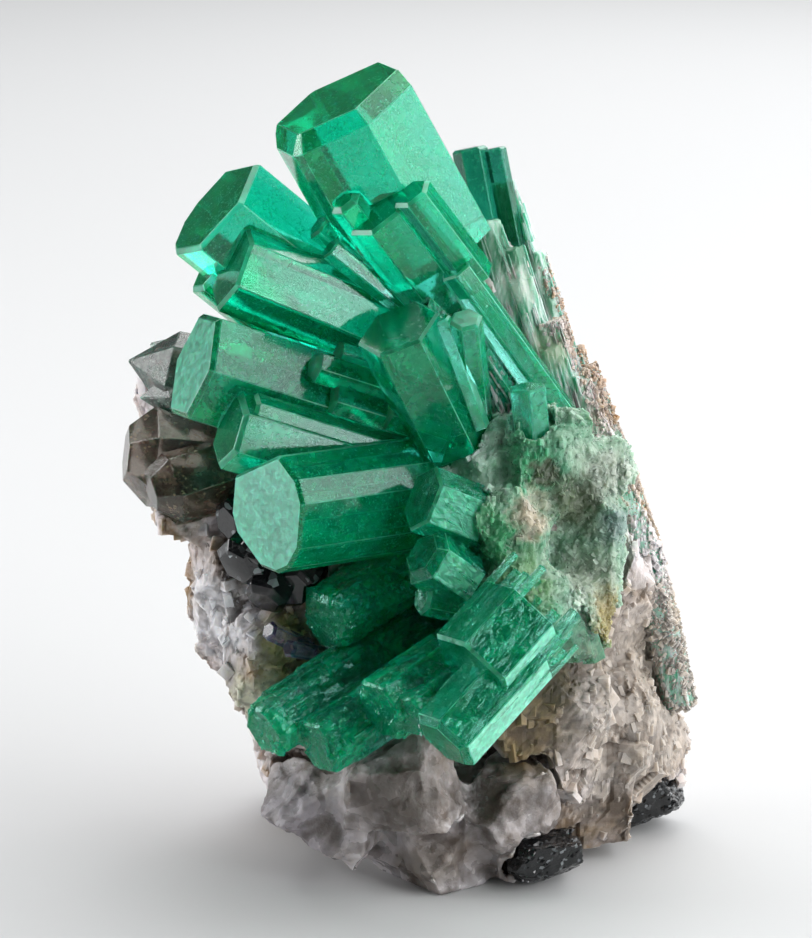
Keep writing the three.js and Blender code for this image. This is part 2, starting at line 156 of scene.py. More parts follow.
# Stains, and one place of painted shade on the rock: colour, middle in millimetres and how far each one
# reaches.
ROCK_STAINS_AND_SHADE = [
    # Painted shade: a broad greyer place that darkens the right side, where the key light falls
    # strongest.
    ("a89f95", (36, -4, 22), 26),
    ("eeecf0", (-28, -4, 36), 10),
    ("6a5a4a", (-24, -4, 46), 6),
    ("a8a56c", (-16, -8, 33), 7),
    ("d8d8c2", (-22, -8, 25), 6),
    ("7c6c4a", (16, -15, 24), 10),
    ("45402a", (22, -12, 29), 6),
    ("6d5c42", (4, -16, 22), 7),
    ("98795e", (26, 16, 72), 14),
    ("a58c54", (27, -13, 38), 8),
    ("7fa68c", (28, -6, 52), 10),
    ("6f665f", (-2, -26, 16), 9),
    ("332c24", (11, -19, 14), 6),
    ("bdb8c0", (-17, -17, 10), 10),
    ("a39a93", (3, -22, 5), 6),
]
SHOULDER_STAINS = [
    ("9c8468", (28, 8, 64), 7),
    ("27805a", (16, 12, 88), 8),
    ("c9dacd", (16, 8, 83), 4),
    ("3f8f68", (21, 14, 80), 5),
    ("a9c0a0", (21, 6, 74), 4),
    ("eaf6ea", (9, -12, 62), 9),
]
DRUSE_STAINS = [
    ("ccf2dc", (9, -12, 62), 8),
    ("3fae76", (16, -15, 63), 6),
    ("2f9a62", (12, -20, 53), 7),
    ("4a5238", (20, -14, 60.5), 3.5),
    ("d3c4ac", (18.6, -17.7, 56), 5),
    ("4d5a3c", (24, -11, 56), 6),
    ("5f9a5c", (17, -22, 47), 6),
    ("a9b5a6", (30, -8, 59), 6),
    ("7c9690", (32, -11, 52), 5),
    ("b9c9b4", (26, -14, 45), 6),
    ("9c8a55", (29, -13.5, 39), 6),
]
EMERALD_CLEAR = "00f9ee"  # what thin emerald lets through; the rest it takes up
GREEN_MIRROR = "b3fff9"  # the tint of what an uneven face of emerald mirrors
SHOULDER_EDGE = (0.914, 0.0, 0.406)  # the way that the shoulder's right edge faces
FIBRES_PER_MM = (1.3, 1.3, 0.12)  # in the fibrous beryl, across twice and along
FIBRE_LEAN = math.radians(-18)  # how far those fibres lean from upright, as the columns do
# What emerald with an uneven surface has in common: sparkling faces and many pale specks inside, partly
# painted glints.
HILLOCKY = {
    "clear": EMERALD_CLEAR, "clearest": 0.86, "hillock_mm": 1.1, "veil_width": 0.06,
    "speck_mm": 0.42, "glow_mm": 1.5, "mirror": GREEN_MIRROR,
}
# Single faces that are etched: the way the face looks and its frost.
ETCHED_FACES = {
    "emerald_lower_right": ((0.738, -0.571, -0.358), 0.9),
    "emerald_stubs": ((0.465, -0.884, 0.046), 0.7),
}
# Emeralds grown in small steps all over: their grain and the height of their steps, mm.
STEPPED = {"emerald_lower_left": (6.5, 0.9), "emerald_dark": (6.0, 0.9)}
# Emeralds whose faces are uneven, with growth hillocks, so that they sparkle all over.
UNEVEN = ("emerald_stubs", "emerald_lower_right", "emerald_core")
# The side of the small faces that each rock is remade from, mm.
ROCKS = {
    "matrix": 0.55, "quartz_knobs": 0.4, "beryl_druse": 0.5, "mica_right": 0.45, "mica_foot": 0.45,
    "beryl_columns": 0.35,
}

# Blender's own names for the kinds of node that are used most.
MATH = "ShaderNodeMath"
VECTOR = "ShaderNodeVectorMath"
RANGE = "ShaderNodeMapRange"
NOISE = "ShaderNodeTexNoise"
CELLS = "ShaderNodeTexVoronoi"
MIX = "ShaderNodeMix"
RAMP = "ShaderNodeValToRGB"
MAPPING = "ShaderNodeMapping"
BUMP = "ShaderNodeBump"
SURFACE = "ShaderNodeBsdfPrincipled"
OUTPUT = "ShaderNodeOutputMaterial"
ATTRIBUTE = "ShaderNodeAttribute"
SPLIT = "ShaderNodeSeparateXYZ"
COMBINE = "ShaderNodeCombineXYZ"
POSITION = "GeometryNodeInputPosition"
NORMAL = "GeometryNodeInputNormal"
MOVE = "GeometryNodeSetPosition"
DELETE = "GeometryNodeDeleteGeometry"
LOGIC = "FunctionNodeBooleanMath"
ON_POINTS = "GeometryNodeInstanceOnPoints"
RANDOM = "FunctionNodeRandomValue"
COMPARE = "FunctionNodeCompare"
THREE = "FLOAT_VECTOR"


def linear(text):
    """Linear colour of an sRGB hex value, such as 0d8a5c."""
    shares = [int(text[i : i + 2], 16) / 255 for i in (0, 2, 4)]
    return tuple(s / 12.92 if s <= 0.04045 else ((s + 0.055) / 1.055) ** 2.4 for s in shares)


def rgba(tint):
    """The four parts of a colour: an sRGB hex value, or what the user has chosen."""
    return (*(linear(tint) if isinstance(tint, str) else tint), 1)


def tone(name, description, default):
    """A colour that the user may change."""
    return bpy.props.FloatVectorProperty(
        name=name, description=description, default=linear(default), subtype="COLOR", min=0, max=1,
    )


def size(name, description, default, **limits):
    """A length in metres that the user may change, given in millimetres."""
    return bpy.props.FloatProperty(
        name=name, description=description, default=default * MM, unit="LENGTH", min=0, **limits
    )


def count(name, description, default):
    """A whole number that the user may change."""
    return bpy.props.IntProperty(name=name, description=description, default=default, min=0)


def share(name, description, default, top=1):
    """A plain number that the user may change."""
    return bpy.props.FloatProperty(
        name=name, description=description, default=default, min=0, max=top, subtype="FACTOR"
    )


class CrystalSettings(bpy.types.PropertyGroup):
    """The emerald and pale beryl crystals"""

    pale: tone("Pale beryl", "Colour of the milky columns", "b9d6bd")
    edge: size("Edge softness", "Width of the worn line along each crystal edge", 0.11)
    step: size("Step size", "Size of the net that the smallest growth steps are made from", 0.27)
    flake: size("Flake size", "Half the width of the largest flakes in the veils", 0.2)
    flake_density: count("Flake density", "Flakes tried in each cubic centimetre", 9000)
    needle: size("Needle width", "Half the width of the thickest needles", 0.42)
    needle_density: count("Needle density", "Needles on each square centimetre", 70)
    seed: count("Seed", "Seed of the flakes and needles", 7)


class RockSettings(bpy.types.PropertyGroup):
    """The rock that the crystals grow on"""

    light: tone("Feldspar", "Colour of the fresh feldspar", "d9d1d3")
    tan: tone("Stain", "Colour of the iron stained parts", "8f7656")
    grain: size("Cleavage size", "Size of the largest cleavage faces", 7.0)
    relief: size("Relief", "How far the cleavage faces step in and out", 1.5)
    block: size("Block size", "Half the width of the largest broken blocks", 1.6)
    block_density: count("Block density", "Broken blocks on each square centimetre", 22)
    seed: count("Seed", "Seed of the broken blocks", 5)


class StudioSettings(bpy.types.PropertyGroup):
    """The floor and the light"""

    floor: tone("Floor", "Colour of the plain paper floor", "cbcccd")
    key: share("Key light", "Radiance of the large soft light on the right", 4.0, top=20)
    ambient: share("Ambient", "Radiance of the plain surroundings", 0.06, top=5)


def add_node(tree, kind, inputs=(), operation=None, out=0, stops=(), **settings):
    """Adds a node: its settings, a value or a link for each input, and a ramp's stops.

    It gives back the output that is asked for, or the node itself where out is None.
    """
    new = tree.nodes.new(kind)
    if operation:
        new.operation = operation
    for name, value in settings.items():
        setattr(new, name, value)
    for key, value in inputs.items() if isinstance(inputs, dict) else enumerate(inputs):
        if isinstance(value, bpy.types.NodeSocket):
            tree.links.new(value, new.inputs[key])
        else:
            new.inputs[key].default_value = value
    if stops:
        while len(new.color_ramp.elements) < len(stops):
            new.color_ramp.elements.new(0.5)
        for element, (place, tint) in zip(new.color_ramp.elements, stops):
            element.position = place
            element.color = rgba(tint)
    return new if out is None else new.outputs[out]


def start_material(name):
    """An empty material and the function that adds a node to it."""
    made = bpy.data.materials.new(name)
    made.use_nodes = True
    made.node_tree.nodes.clear()
    return made, partial(add_node, made.node_tree)


def in_millimetres(add):
    """The point that is being coloured, in millimetres."""
    place = add("ShaderNodeTexCoord", out="Object")
    return add(MAPPING, {"Vector": place, "Scale": (1 / MM,) * 3})


def tilted_cells(add, place, scale):
    """How far a point stands out when every cell has a slight tilt of its own; also the cells."""
    cells = add(CELLS, {"Vector": place, "Scale": scale}, out=None).outputs
    away = add(VECTOR, (place, cells["Position"]), "SUBTRACT")
    tilt = add(VECTOR, (cells["Color"], (0.5,) * 3), "SUBTRACT")
    return add(VECTOR, (away, tilt), "DOT_PRODUCT", out="Value"), cells


def facets(add, millimetres, wide, high, normal):
    """Tilts a normal in cells: each cell is a small flat face at its own slight tilt."""
    scaled = add(VECTOR, {0: millimetres, "Scale": 1 / wide}, "SCALE")
    facet, _ = tilted_cells(add, scaled, 1.0)
    return add(BUMP, {"Height": facet, "Distance": high * MM, "Normal": normal})


def crystal_glass(
    name, clear, density, body, milk, ior=1.58, clearest=0.92, cloudiest=0.35, streak_mm=0.5,
    rough=(0.03, 0.45), glow_mm=2.5, hillock_mm=0.0, veil_width=0.022, speck_mm=0.18, gloss=0.5,
    mirror="ffffff",
):
    """A natural crystal: glossy striated sides, etched ends, veils of pale specks that are partly painted
    glints, and cloudy zones.
    """
    made, add = start_material(name)
    own = add(ATTRIBUTE, attribute_name=COORDINATES, out="Vector")
    frost = add(ATTRIBUTE, attribute_name=FROST, out="Fac")
    cloud = add(ATTRIBUTE, attribute_name=CLOUD, out="Fac")
    # Striations run the length of the crystal, so the pattern is drawn out along Z.
    fine = 1 / streak_mm
    drawn = add(MAPPING, {"Vector": own, "Scale": (fine, fine, fine * STRIA_RUN)})
    streaks = add(NOISE, {"Vector": drawn, "Scale": 1.0, "Detail": 3.0, "Roughness": 0.6})
    pits = add(NOISE, {
        "Vector": own, "Scale": PITS_PER_MM, "Detail": 5.0, "Roughness": 0.65, "Distortion": 0.6,
    })
    zones = add(NOISE, {
        "Vector": own, "Scale": 1 / ZONE_MM, "Detail": 5.0, "Roughness": 0.62, "Distortion": 1.2,
    })
    # A veil is a thin sheet of tiny fluid drops, seen where the noise passes its middle value. Its pale
    # specks are partly the drops and partly painted glints.
    off_middle = add(MATH, (zones, 0.5), "SUBTRACT")
    off_sheet = add(MATH, (off_middle,), "ABSOLUTE")
    veil = add(RANGE, (off_sheet, veil_width, 0.0))
    often = 1 / speck_mm
    slender = add(MAPPING, {"Vector": own, "Scale": (often, often, often * 0.5)})
    drops = add(CELLS, {"Vector": slender, "Scale": 1.0}, out=None).outputs
    dots = add(RANGE, (drops["Distance"], 0.55, 0.3))
    some = add(RANGE, (drops["Color"], 0.5, 0.7))
    chosen = add(MATH, (dots, some), "MULTIPLY")
    specks = add(MATH, (veil, chosen), "MULTIPLY")
    sparkle = add(MATH, (specks, cloud), "MULTIPLY")
    # Cloudy patches with clear crystal between them. An etched face scatters light as well.
    patches = add(RANGE, (zones, 0.42, 0.66))
    milky = add(MATH, (patches, cloud), "MULTIPLY")
    full = add(MATH, (frost, 2.0), "POWER")
    partly = add(MATH, (frost, full), "SUBTRACT")
    swing = add(RANGE, (pits, 0.3, 0.7, -1.0, 1.0))
    etched = add(MATH, (swing, partly, full), "MULTIPLY_ADD", use_clamp=True)
    light = add(MATH, (sparkle, etched), "MAXIMUM")
    scatter = add(RANGE, (milky, 0.0, 1.0, 1 - clearest, 1 - cloudiest))
    solid = add(MATH, (scatter, light), "MAXIMUM")
    flat_tint = add(MIX, {"Factor": light, 6: rgba(body), 7: rgba(milk)}, data_type="RGBA", out=2)
    mottle = add(RANGE, (pits, 0.3, 0.7, 0.6, 1.2))
    tint = add(
        MIX, {"Factor": 1.0, 6: flat_tint, 7: mottle}, data_type="RGBA", blend_type="MULTIPLY", out=2
    )
    dull = add(RANGE, (frost, 0.0, 1.0, rough[0], rough[1]))
    roughness = add(MATH, (streaks, 0.06, dull), "MULTIPLY_ADD")
    relief = add(MIX, {"Factor": frost, 2: streaks, 3: pits})
    height = add(RANGE, (frost, 0.0, 1.0, STRIA_HEIGHT, PIT_DEPTH))
    normal = add(BUMP, {"Height": relief, "Distance": height})
    if hillock_mm:
        drawn_out = add(MAPPING, {"Vector": own, "Scale": (1.0, 1.0, 0.55)})
        hills = add(NOISE, {
            "Vector": drawn_out, "Scale": 1 / hillock_mm, "Detail": 2.0, "Roughness": 0.5,
            "Distortion": 0.8,
        })
        high = HILL_HEIGHT * hillock_mm * MM
        normal = add(BUMP, {"Height": hills, "Distance": high, "Normal": normal})
        normal = facets(add, drawn_out, hillock_mm, FACET_HEIGHT * hillock_mm, normal)
    skin = {
        "Roughness": roughness, "IOR": ior, "Specular IOR Level": gloss,
        "Specular Tint": rgba(mirror), "Normal": normal,
    }
    glass = add(SURFACE, {"Base Color": rgba("ffffff"), "Transmission Weight": 1.0, **skin})
    glow = add(MATH, (1.0, sparkle), "SUBTRACT")
    cloudy = add(SURFACE, {
        "Base Color": tint, "Subsurface Weight": glow, "Subsurface Radius": (0.25, 1.0, 0.7),
        "Subsurface Scale": glow_mm * MM, **skin,
    })
    surface = add("ShaderNodeMixShader", (solid, glass, cloudy))
    # Light that crosses the crystal is coloured by how far it goes.
    depth = add("ShaderNodeVolumeAbsorption", {"Color": rgba(clear), "Density": density})
    add(OUTPUT, {"Surface": surface, "Volume": depth}, out=None)
    return made


def inclusion_film(name, tint):
    """Healed cracks and fluid films inside a crystal: thin bright flakes that catch the light."""
    made, add = start_material(name)
    surface = add(SURFACE, {"Base Color": rgba(tint), "Roughness": 0.3, "IOR": 1.45, "Metallic": 0.6})
    add(OUTPUT, {"Surface": surface}, out=None)
    return made


def stained(add, millimetres, ragged, tinted, places):
    """Adds coloured places with ragged edges to a colour."""
    swing = add(VECTOR, (ragged, (0.5,) * 3), "SUBTRACT")
    pushed = add(VECTOR, {0: swing, "Scale": STAIN_SWING}, "SCALE")
    unsettled = add(VECTOR, (millimetres, pushed), "ADD")
    for stain, middle, reach in places:
        away = add(VECTOR, (unsettled, middle), "DISTANCE", out="Value")
        there = add(RANGE, (away, reach, 0.45 * reach, 0.0, 0.9))
        tinted = add(MIX, {"Factor": there, 6: tinted, 7: rgba(stain)}, data_type="RGBA", out=2)
    return tinted


def fine_beryl(name, green, white, places):
    """Packed needles: each lets a little light through, some green and some nearly white."""
    made, add = start_material(name)
    millimetres = in_millimetres(add)
    drawn = add(MAPPING, {
        "Vector": millimetres, "Rotation": (0, FIBRE_LEAN, 0), "Scale": FIBRES_PER_MM,
    })
    streaks = add(NOISE, {"Vector": drawn, "Scale": 1.0, "Detail": 4.0, "Roughness": 0.6})
    streaked = add(RAMP, {"Fac": streaks}, stops=[(0.36, green), (0.62, white)])
    ragged = add(NOISE, {
        "Vector": millimetres, "Scale": 1 / PATCH_MM, "Detail": 6.0, "Roughness": 0.65,
    }, out="Color")
    tint = stained(add, millimetres, ragged, streaked, places)
    surface = add(SURFACE, {
        "Base Color": tint, "Roughness": 0.35, "IOR": 1.58, "Transmission Weight": 0.2,
        "Subsurface Weight": 1.0, "Subsurface Radius": (0.5, 1.0, 0.8), "Subsurface Scale": 2.0 * MM,
    })
    add(OUTPUT, {"Surface": surface}, out=None)
    return made


def broken_rock(
    name, light, stain, shade, places, rough=0.6, glow_mm=1.6, clear=0.0, facet_mm=0.0,
    facet_rise=FACET_HEIGHT, hollow=(0.5, 0.1), grain_mm=0.1,
):
    """Broken rock: bright cleavage faces, painted shade in the hollows and coloured places.

    Each place is a colour, its middle in millimetres and how far it reaches; most are stains, and the
    broad one on the rock's right is painted shade.
    """
    made, add = start_material(name)
    millimetres = in_millimetres(add)
    relief = add(ATTRIBUTE, attribute_name=RELIEF, out="Fac")
    tone_share = add(ATTRIBUTE, attribute_name=TONE, out="Fac")
    patches = add(NOISE, {
        "Vector": millimetres, "Scale": 1 / PATCH_MM, "Detail": 6.0, "Roughness": 0.65,
        "Distortion": 0.4,
    })
    ragged = add(NOISE, {
        "Vector": millimetres, "Scale": 1 / RAGGED_MM, "Detail": 5.0, "Roughness": 0.65,
    }, out="Color")
    speck = add(NOISE, {"Vector": millimetres, "Scale": 1 / SPECK_MM, "Detail": 5.0, "Roughness": 0.65})
    tinted = add(RAMP, {"Fac": patches}, stops=[(0.42, light), (0.62, stain)])
    tinted = stained(add, millimetres, ragged, tinted, places)
    # Painted shade: where the relief is low, the colour turns towards the shade colour, by up to 0.8.
    hollow_shade = add(RANGE, (relief, hollow[0], hollow[1], 0.0, 0.8))
    shaded_hollows = add(MIX, {"Factor": hollow_shade, 6: tinted, 7: rgba(shade)}, data_type="RGBA", out=2)
    mottled = add(MATH, (speck, 0.5, tone_share), "MULTIPLY_ADD")
    varied = add(RANGE, (mottled, 0.25, 1.25, 0.58, 1.3))
    final = add(MIX, {"Factor": 1.0, 6: shaded_hollows, 7: varied}, data_type="RGBA", blend_type="MULTIPLY", out=2)
    gloss = add(RANGE, (tone_share, 0.0, 1.0, rough - 0.3, rough + 0.15))
    normal = add(BUMP, {"Height": speck, "Distance": grain_mm * MM})
    if facet_mm:
        normal = facets(add, millimetres, facet_mm, facet_rise * facet_mm, normal)
    surface = add(SURFACE, {
        "Base Color": final, "Roughness": gloss, "IOR": 1.53, "Subsurface Weight": 0.7,
        "Subsurface Radius": (1.0, 0.9, 0.8), "Subsurface Scale": glow_mm * MM,
        "Transmission Weight": clear, "Normal": normal,
    })
    add(OUTPUT, {"Surface": surface}, out=None)
    return made


def black_mineral(name, body, painted_glint, streak_mm=0.7):
    """Black tourmaline or mica: glassy, ribbed along its length, with painted glints on a few of its
    broken facets.
    """
    made, add = start_material(name)
    millimetres = in_millimetres(add)
    flakes = add(CELLS, {"Vector": millimetres, "Scale": 1 / streak_mm}, out="Color")
    # Painted glints: the cells at the top of the ramp take the pale glint colour, whatever the light.
    tint = add(RAMP, {"Fac": flakes}, stops=[(0.0, body), (0.78, body), (0.9, painted_glint)])
    normal = add(BUMP, {"Height": flakes, "Distance": RIB_HEIGHT})
    surface = add(SURFACE, {"Base Color": tint, "Roughness": 0.12, "IOR": 1.64, "Normal": normal})
    add(OUTPUT, {"Surface": surface}, out=None)
    return made


def plain_paper(name, tint):
    """A seamless paper floor: matt, without a mark."""
    made, add = start_material(name)
    surface = add(SURFACE, {"Base Color": rgba(tint), "Roughness": 0.85, "IOR": 1.45})
    add(OUTPUT, {"Surface": surface}, out=None)
    return made


def put(name, data, way=None, distance=0.0):
    """Puts a mesh, a light or a camera in the scene.

    With a way, it stands off from the camera's aim that way and looks back at it.
    """
    thing = bpy.data.objects.new(name, data)
    bpy.context.scene.collection.objects.link(thing)
    if way is not None:
        thing.location = Vector((0, 0, VIEW_HEIGHT)) + way * distance
        thing.rotation_euler = way.to_track_quat("Z", "Y").to_euler()
    return thing


def show(name, mesh, material, replaced=()):
    """Puts a finished mesh in the scene as a piece of the specimen."""
    mesh.name = name
    mesh.materials.clear()
    mesh.materials.append(material)
    piece = put(name, mesh)
    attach(piece, BODY)
    if replaced:
        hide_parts(*replaced)
    return piece


def axis_frame(heading, rise):
    """Rows that turn a point into a crystal's own frame: level, across and along it."""
    h, r = math.radians(heading), math.radians(rise)
    along = Vector((math.cos(r) * math.cos(h), math.cos(r) * math.sin(h), math.sin(r)))
    side = Vector((-math.sin(h), math.cos(h), 0))
    return Matrix((side, along.cross(side), along))


def welded(name):
    """The CAD node's loose triangles joined at their corners, as an open bmesh."""
    bm = bmesh.new()
    bm.from_mesh(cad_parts[name].data)
    bmesh.ops.remove_doubles(bm, verts=bm.verts, dist=WELD)
    return bm


def finished(name, bm):
    """A new mesh from a bmesh, which is freed."""
    mesh = bpy.data.meshes.new(name)
    bm.to_mesh(mesh)
    bm.free()
    return mesh


def store_points(mesh, points):
    """Stores where each corner of a crystal is in the crystal's own frame."""
    marks = mesh.attributes.new(COORDINATES, "FLOAT_VECTOR", "POINT")
    marks.data.foreach_set("vector", points.astype(np.float32).ravel())


def mark_crystal(mesh, look):
    """Stores what a crystal's material reads on a mesh that has no marks yet."""
    heading, rise, end_frost, side_frost, cloudy = look
    own = np.array(axis_frame(heading, rise))
    points = np.empty(3 * len(mesh.vertices))
    mesh.vertices.foreach_get("co", points)
    store_points(mesh, points.reshape(-1, 3) @ own.T / MM)
    normals = np.empty(3 * len(mesh.polygons))
    mesh.polygons.foreach_get("normal", normals)
    on_end = np.abs(normals.reshape(-1, 3) @ own[2]) > ON_ROUGH_END
    for mark, at_end, at_side in (
        (FROST, end_frost, side_frost), (CLOUD, cloudy * END_CLOUD, cloudy),
    ):
        values = np.where(on_end, at_end, at_side)
        mesh.attributes.new(mark, "FLOAT", "FACE").data.foreach_set("value", values)


def is_worn(face):
    """Whether a face is so narrow that it is a worn edge."""
    return face.calc_area() < NARROW * max(e.calc_length() for e in face.edges)


def crystal_mesh(name, look, edge):
    """A crystal with a worn line along its edges and what its material reads."""
    heading, rise, end_frost, side_frost, cloudy = look
    bm = welded(name)
    bmesh.ops.dissolve_limit(bm, angle_limit=FLAT, verts=bm.verts, edges=bm.edges)
    etched = bm.faces.layers.float.new(FROST)
    hazed = bm.faces.layers.float.new(CLOUD)
    worn = [
        e for e in bm.edges
        if e.is_manifold and e.calc_face_angle_signed(0) > SHARP
        and e.calc_length() > SHORTEST * edge
        and not any(is_worn(face) for face in e.link_faces)
    ]
    bmesh.ops.bevel(
        bm, geom=worn, offset=edge, segments=1, affect="EDGES", profile=0.5, clamp_overlap=False
    )
    own = axis_frame(heading, rise)
    facing, own_frost = ETCHED_FACES.get(name, ((0, 0, 0), 0))
    for face in bm.faces:
        on_end = abs(own[2].dot(face.normal)) > ON_END
        face[etched] = end_frost if on_end else side_frost
        face[hazed] = cloudy * END_CLOUD if on_end else cloudy
        if Vector(facing).dot(face.normal) > SAME_WAY:
            face[etched] = own_frost
        if is_worn(face) and name in EMERALDS:
            face[etched] = EDGE_FROST
    bmesh.ops.triangulate(bm, faces=bm.faces)
    mesh = finished(name, bm)
    store_points(mesh, np.array([own @ v.co for v in mesh.vertices]) / MM)
    return mesh


def settings():
    """What the user has set for the specimen."""
    return bpy.context.scene.emerald_cluster


def group(kind, name):
    """A group of settings, described by its own docstring."""
    return bpy.props.PointerProperty(type=kind, name=name, description=kind.__doc__)


class Settings(bpy.types.PropertyGroup):
    """Everything about the specimen that a user may change."""

    crystals: group(CrystalSettings, "Crystals")
    rock: group(RockSettings, "Rock")
    studio: group(StudioSettings, "Studio")


class SPECIMEN_OT_stage(bpy.types.Operator):
    """Sets up the paper floor, the soft lights and the camera at the photograph's angle"""

    bl_idname = "specimen.stage"
    bl_label = "Stage"

    def execute(self, context):
        studio = settings().studio
        floor_mesh = bpy.data.meshes.new("floor")
        around = ((-1, -1), (1, -1), (1, 1), (-1, 1))
        corners = [(x * FLOOR_HALF, y * FLOOR_HALF, 0) for x, y in around]
        floor_mesh.from_pydata(corners, [], [(0, 1, 2, 3)])
        # Matt paper: a pale, even grey that shows soft shadows and no mark of its own.
        floor_mesh.materials.append(plain_paper("matt paper", studio.floor))
        floor = put("floor", floor_mesh)
        # name, compass direction from the viewer's side (right positive), height angle,
        # distance, width, height and radiance against the key light's setting
        boxes = [
            ("key softbox", 92, 27, 0.50, 0.72, 0.52, 0.84),
            ("front strip", 48, 12, 0.50, 0.16, 0.26, 1.5),
            ("left softbox", -100, 12, 0.60, 0.34, 0.44, 1.5),
            ("back softbox", 180, 58, 1.30, 1.60, 1.10, 0.75),
            ("low back strip", 160, 23, 0.90, 0.55, 0.36, 0.8),
        ]
        for name, turn, rise, distance, width, height, radiance in boxes:
            lamp = bpy.data.lights.new(name, "AREA")
            lamp.shape = "RECTANGLE"
            lamp.size = width
            lamp.size_y = height
            lamp.energy = studio.key * radiance * width * height * math.pi
            t, r = math.radians(turn), math.radians(rise)
            away = Vector((math.sin(t) * math.cos(r), -math.cos(t) * math.cos(r), math.sin(r)))
            put(name, lamp, away, distance)

        world = bpy.data.worlds.new("plain studio")
        world.use_nodes = True
        background = world.node_tree.nodes["Background"].inputs
        background["Color"].default_value = rgba("ffffff")
        background["Strength"].default_value = studio.ambient
        context.scene.world = world
        context.scene.view_settings.view_transform = "Standard"

        camera = bpy.data.cameras.new("camera")
        camera.sensor_width = SENSOR
        camera.lens = SENSOR * VIEW_DISTANCE / VIEW_TALL
        back = Vector((0, -math.cos(VIEW_RISE), math.sin(VIEW_RISE)))
        context.scene.camera = put("camera", camera, back, VIEW_DISTANCE)
        return {"FINISHED"}


class SPECIMEN_OT_crystals(bpy.types.Operator):
    """Makes the emerald, pale beryl and quartz crystals"""

    bl_idname = "specimen.crystals"
    bl_label = "Crystals"

    def execute(self, context):
        crystals = settings().crystals
        # Emerald: beryl coloured by chromium, prism faces grown smooth with fine lines along
        # them. The eye sees deep green glass with brighter, bluish green where light gathers.
        emerald = crystal_glass(
            "emerald, grown prism faces", clear=EMERALD_CLEAR, density=280, body="06cc92",
            milk="9cf2de", clearest=0.82, gloss=0.45, mirror="e1ffff",
        )
        # The same emerald with growth hillocks all over its faces, which break up reflections.
        uneven = crystal_glass(
            "emerald, hillocky faces", density=330, body="06d89a", milk="a4f6da", gloss=0.3,
            **HILLOCKY,
        )
        # Stepped emerald: glassy steps with bright specks, partly painted glints, between cloudy green
        # zones.
        stepped = crystal_glass(
            "emerald, stepped faces", clear=EMERALD_CLEAR, density=240, body="06e6a4",
            milk="a4f6da", clearest=0.8, cloudiest=0.2, veil_width=0.05, speck_mm=0.45,
            gloss=0.26, glow_mm=2.5, mirror=GREEN_MIRROR,
        )
        # Dark emerald: the same again with more chromium, for the slim prisms at the back.
        dark = crystal_glass(
            "emerald, dark", clear="00f1e2", density=900, body="126a48",
            milk="6fcfae", clearest=0.55, mirror=GREEN_MIRROR,
        )
        # Milky beryl: the same mineral, full of fine tubes along its length, so it looks silky.
        pale = crystal_glass(
            "milky beryl, silky columns", clear="a0f3d7", density=120,
            body="66b08c", milk=crystals.pale, cloudiest=0.15, streak_mm=0.35,
        )
        # Clear quartz: colourless glass with veils and a conchoidal, uneven gloss.
        clear_quartz = crystal_glass(
            "clear quartz, veiled", clear="dae5df", density=150, body="6f7f78",
            milk="c6cfca", ior=1.544, clearest=0.72, cloudiest=0.3, veil_width=0.06, speck_mm=0.35,
        )
        # Smoky quartz: the same, browned by natural radiation, dark where it is thick.
        smoky = crystal_glass(
            "smoky quartz", clear="bfb3a4", density=120, body="655c50", milk="cdbb96",
            ior=1.544, clearest=0.76, veil_width=0.07, speck_mm=0.4,
        )
        # Black tourmaline: opaque and glassy, ribbed, with a few cells painted nearly white as glints.
        black = black_mineral("black tourmaline, ribbed", "0e1012", "b4bcc0", 1.1)
        # Violet apatite: dusky glass, dim beside the black that it grows on.
        violet = crystal_glass(
            "violet apatite", clear="cec4ed", density=160, body="8d86a3", milk="a29cb8",
            ior=1.634,
        )
        others = {
            "beryl_top_right": (dark, "beryl"), "beryl_pale_small": (pale, "beryl"),
            "quartz_clear": (clear_quartz, "clear_quartz"), "quartz_smoky": (smoky, "smoky_quartz"),
            "schorl": (black, "schorl"), "apatite_small": (violet, "apatite"),
        }
        steps = cleavage_tree()
        for name, look in CRYSTALS.items():
            material, slot = others.get(name, (emerald, "emerald"))
            if name in UNEVEN:
                material = uneven
            if name in STEPPED:
                material = stepped
                grain, relief = STEPPED[name]
                mesh = grown(name, remeshed(name, crystals.step), steps, {
                    "Grain": grain * MM, "Relief": relief * MM, "Material": material,
                })
                mark_crystal(mesh, look)
            else:
                mesh = crystal_mesh(name, look, crystals.edge)
            show(f"{name}_crystal", mesh, material, replaced=[name])
        return {"FINISHED"}


def marked(add, geometry, relief, lightness, domain="POINT"):
    """Stores what a rock's material reads: how far it stands out, which sets its painted shade, and how
    light it is.
    """
    for name, value in ((RELIEF, relief), (TONE, lightness)):
        geometry = add("GeometryNodeStoreNamedAttribute", {
            "Geometry": geometry, "Name": name, "Value": value,
        }, domain=domain)
    return geometry


def start_tree(name, numbers, wholes=(), ways=()):
    """A new geometry tree, the function that adds a node to it, and what it is given.

    It has a mesh in and out, a material and the named inputs: numbers, whole ones and vectors.
    """
    tree = bpy.data.node_groups.new(name, "GeometryNodeTree")
    face = tree.interface
    face.new_socket("Geometry", in_out="OUTPUT", socket_type="NodeSocketGeometry")
    for kind, labels in (
        ("Geometry", ["Geometry"]), ("Float", numbers), ("Int", wholes), ("Vector", ways),
        ("Material", ["Material"]),
    ):
        for label in labels:
            face.new_socket(label, in_out="INPUT", socket_type=f"NodeSocket{kind}")
    add = partial(add_node, tree)
    return tree, add, add("NodeGroupInput", out=None).outputs


def finish_tree(tree, add, given, geometry):
    """Ends a geometry tree: nothing that it makes reaches out of the solids' own box."""
    whole = add("GeometryNodeRealizeInstances", {"Geometry": geometry})
    held = add(POSITION)
    for corner, side in zip(CAD_BOX, ("MAXIMUM", "MINIMUM")):
        held = add(VECTOR, (held, tuple(corner)), side)
    inside = add(MOVE, {"Geometry": whole, "Position": held})
    clad = add("GeometryNodeSetMaterial", {"Geometry": inside, "Material": given["Material"]})
    add("NodeGroupOutput", {"Geometry": clad}, out=None)
    return tree


